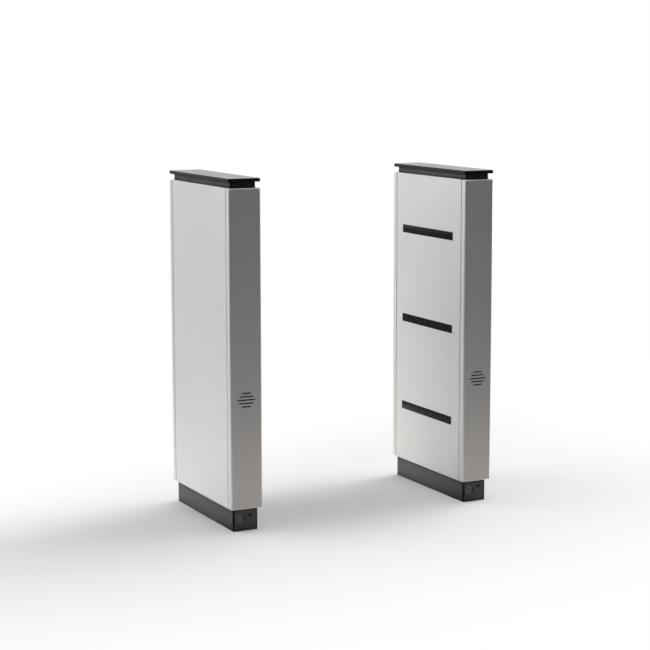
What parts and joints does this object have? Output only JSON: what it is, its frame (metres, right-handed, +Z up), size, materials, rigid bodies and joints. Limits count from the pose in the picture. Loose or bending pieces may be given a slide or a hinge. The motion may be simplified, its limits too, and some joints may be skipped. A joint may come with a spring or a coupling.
{
  "type": "optical turnstile",
  "caption": "Barrier-free optical turnstile: two slim pedestals with sensor windows on either side of a walking lane.",
  "frame": {"origin": "on the floor, in the middle of the walking lane and of the cabinets' length", "axes": "+X across the lane from the left pedestal to the right one, +Y along the walk away from the front, +Z up"},
  "size_m": [0.855, 0.435, 1],
  "materials": {
    "cabinet_steel": "satin silver-grey sheet",
    "frame_steel": "plain zinc-coated sheet",
    "black_paint": "satin black powder coat",
    "gloss_black": "polished black",
    "dark_window": "dark infrared filter plastic, smooth",
    "dark_lock": "satin black",
    "dark_screw": "black oxide",
    "screw_steel": "bright zinc",
    "mesh_metal": "fine black mesh",
    "speaker_plastic": "matte black",
    "rubber": "matte black",
    "brass": "turned",
    "circuit_board": "green solder mask",
    "supply_case": "plain folded sheet",
    "grey_plastic": "matte grey",
    "cable_sheath": "smooth black sheath",
    "reader_plastic": "matte black",
    "red_lens": "clear red lens"
  },
  "bodies": {
    "pedestals": {"left_base_plate": "frame_steel", "left_plinth": "black_paint", "left_front_post": "frame_steel", "left_rear_post": "frame_steel", "left_head_plate": "frame_steel", "left_mounting_plate": "frame_steel", "left_rear_cover": "cabinet_steel", "left_outer_panel": "cabinet_steel", "left_inner_panel": "cabinet_steel", "left_sensor_windows": "dark_window", "left_sensor_rails": "frame_steel", "left_neck": "black_paint", "left_lock_housing": "dark_lock", "right_base_plate": "frame_steel", "right_plinth": "black_paint", "right_front_post": "frame_steel", "right_rear_post": "frame_steel", "right_head_plate": "frame_steel", "right_mounting_plate": "frame_steel", "right_rear_cover": "cabinet_steel", "right_outer_panel": "cabinet_steel", "right_inner_panel": "cabinet_steel", "right_sensor_windows": "dark_window", "right_sensor_rails": "frame_steel", "right_neck": "black_paint", "right_lock_housing": "dark_lock", "left_driver_board": "circuit_board", "right_controller_board": "circuit_board", "right_power_supply": "supply_case", "sensor_boards": "circuit_board", "sensor_lenses": "dark_window", "rear_meshes": "mesh_metal", "cover_nuts": "screw_steel", "panel_screws": "screw_steel", "neck_screws": "dark_screw", "plinth_screws": "dark_screw", "blanking_plugs": "dark_lock", "cable_grommets": "rubber", "earth_studs": "brass", "terminal_blocks": "grey_plastic", "wiring_looms": "cable_sheath"},
    "left_front_cover": {"left_front_cover": "cabinet_steel", "left_lock_keeper": "frame_steel", "left_speaker": "speaker_plastic", "left_front_mesh": "mesh_metal"},
    "left_cap": {"left_cap": "gloss_black", "left_cap_seal": "rubber", "left_card_reader": "reader_plastic", "left_status_lamps": "red_lens"},
    "left_lock": {"left_lock_barrel": "dark_lock", "left_lock_cam": "frame_steel"},
    "right_front_cover": {"right_front_cover": "cabinet_steel", "right_lock_keeper": "frame_steel", "right_speaker": "speaker_plastic", "right_front_mesh": "mesh_metal"},
    "right_cap": {"right_cap": "gloss_black", "right_cap_seal": "rubber"},
    "right_lock": {"right_lock_barrel": "dark_lock", "right_lock_cam": "frame_steel"}
  },
  "joints": [
    {"name": "left_front_cover_tilt", "type": "hinge", "parent": "pedestals", "child": "left_front_cover", "pos_m": [-0.379, -0.2012, 0.9703], "axis": [-1, 0, 0], "range_deg": [0, 12]},
    {"name": "left_cap_lift", "type": "slide", "parent": "pedestals", "child": "left_cap", "axis": [0, 0, 1], "range_m": [0, 0.04]},
    {"name": "left_lock_turn", "type": "hinge", "parent": "pedestals", "child": "left_lock", "pos_m": [-0.3965, -0.2, 0.03737], "axis": [0, -1, 0], "range_deg": [0, 90]},
    {"name": "right_front_cover_tilt", "type": "hinge", "parent": "pedestals", "child": "right_front_cover", "pos_m": [0.379, -0.2012, 0.9703], "axis": [-1, 0, 0], "range_deg": [0, 12]},
    {"name": "right_cap_lift", "type": "slide", "parent": "pedestals", "child": "right_cap", "axis": [0, 0, 1], "range_m": [0, 0.04]},
    {"name": "right_lock_turn", "type": "hinge", "parent": "pedestals", "child": "right_lock", "pos_m": [0.3615, -0.2, 0.03737], "axis": [0, -1, 0], "range_deg": [0, 90]}
  ]
}
